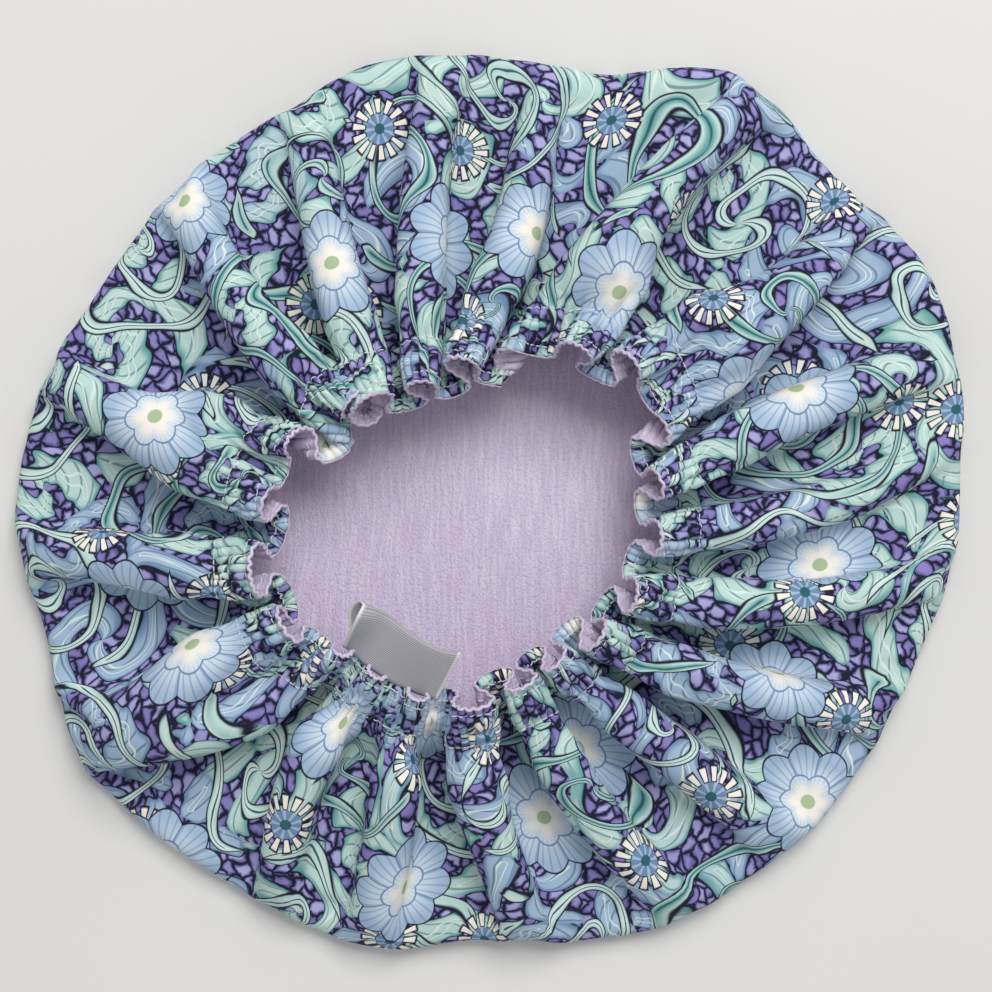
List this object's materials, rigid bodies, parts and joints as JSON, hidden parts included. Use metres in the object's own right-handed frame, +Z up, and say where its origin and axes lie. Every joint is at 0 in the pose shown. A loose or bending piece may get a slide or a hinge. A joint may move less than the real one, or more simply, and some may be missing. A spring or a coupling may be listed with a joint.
{
  "type": "shower cap",
  "caption": "Lined fabric shower cap lying crown down, with a printed outer, a waterproof lining and a gathered elastic opening with a folded label tape.",
  "frame": {"origin": "middle of the crown's flat underside, on the surface that the cap lies on", "axes": "+Z up out of the opening, +X across the cap's wider way, +Y towards the far side of the picture"},
  "size_m": [0.3061, 0.2889, 0.0469],
  "materials": {
    "printed_cotton": "matte",
    "waterproof_laminate": "satin",
    "woven_elastic": "matte",
    "sewing_thread": "satin",
    "label_tape": "satin"
  },
  "bodies": {
    "crown": {"outer_fabric": "printed_cotton", "waterproof_lining": "waterproof_laminate"},
    "opening_ring": {"elastic_band": "woven_elastic", "elastic_join_needle_thread": "sewing_thread", "elastic_join_bobbin_thread": "sewing_thread", "edge_row_needle_thread": "sewing_thread", "edge_row_bobbin_thread": "sewing_thread", "casing_row_needle_thread": "sewing_thread", "casing_row_bobbin_thread": "sewing_thread"},
    "label": {"woven_label": "label_tape"}
  },
  "joints": [
    {"name": "opening_lift", "type": "slide", "parent": "crown", "child": "opening_ring", "axis": [0, 0, 1], "range_m": [0, 0.04], "deforming": ["outer_fabric", "waterproof_lining"]},
    {"name": "label_flap", "type": "hinge", "parent": "opening_ring", "child": "label", "pos_m": [-0.0292, -0.049, 0.0382], "axis": [0.891, -0.454, 0], "range_deg": [-60, 90]}
  ]
}
